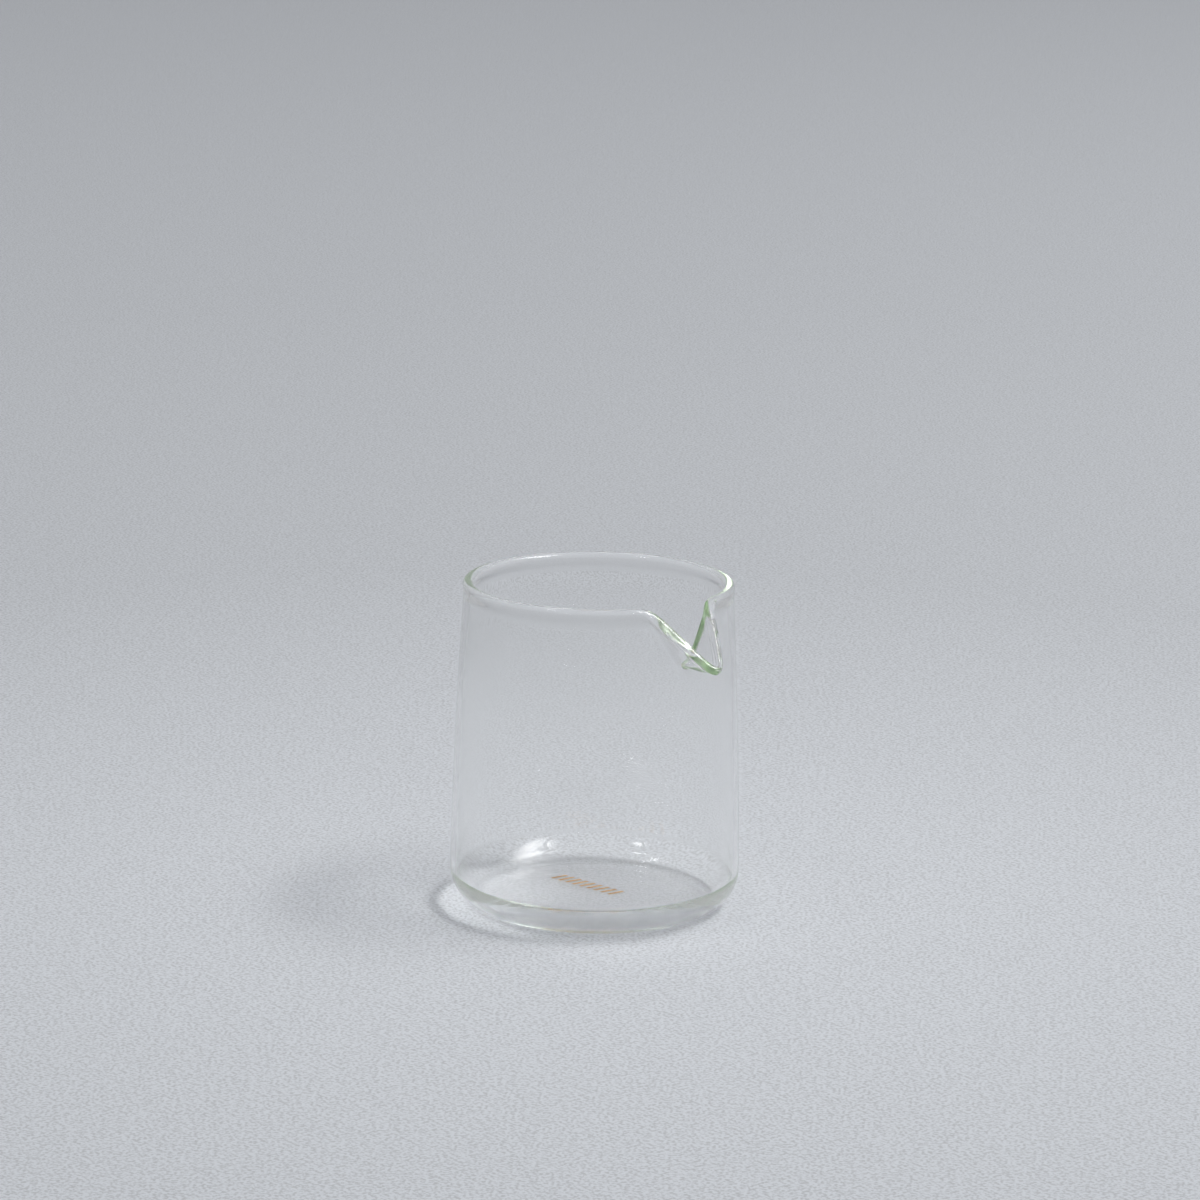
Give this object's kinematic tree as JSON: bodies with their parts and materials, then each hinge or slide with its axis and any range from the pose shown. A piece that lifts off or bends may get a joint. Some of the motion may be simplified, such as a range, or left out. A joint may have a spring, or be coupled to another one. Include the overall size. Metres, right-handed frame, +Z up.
{
  "type": "glass jug",
  "caption": "Handleless jug of clear glass, slightly narrower at the round rim bead, with a thick rounded base and a pouring beak folded out of the wall.",
  "frame": {"origin": "centre of the flat underside that the jug rests on", "axes": "+Z up, +X the way the beak pours, +Y across it"},
  "size_m": [0.1097, 0.096, 0.1095],
  "materials": {
    "clear_glass": "clear, polished, faintly green where thick"
  },
  "bodies": {
    "root": {"jug_body": "clear_glass"}
  },
  "joints": []
}
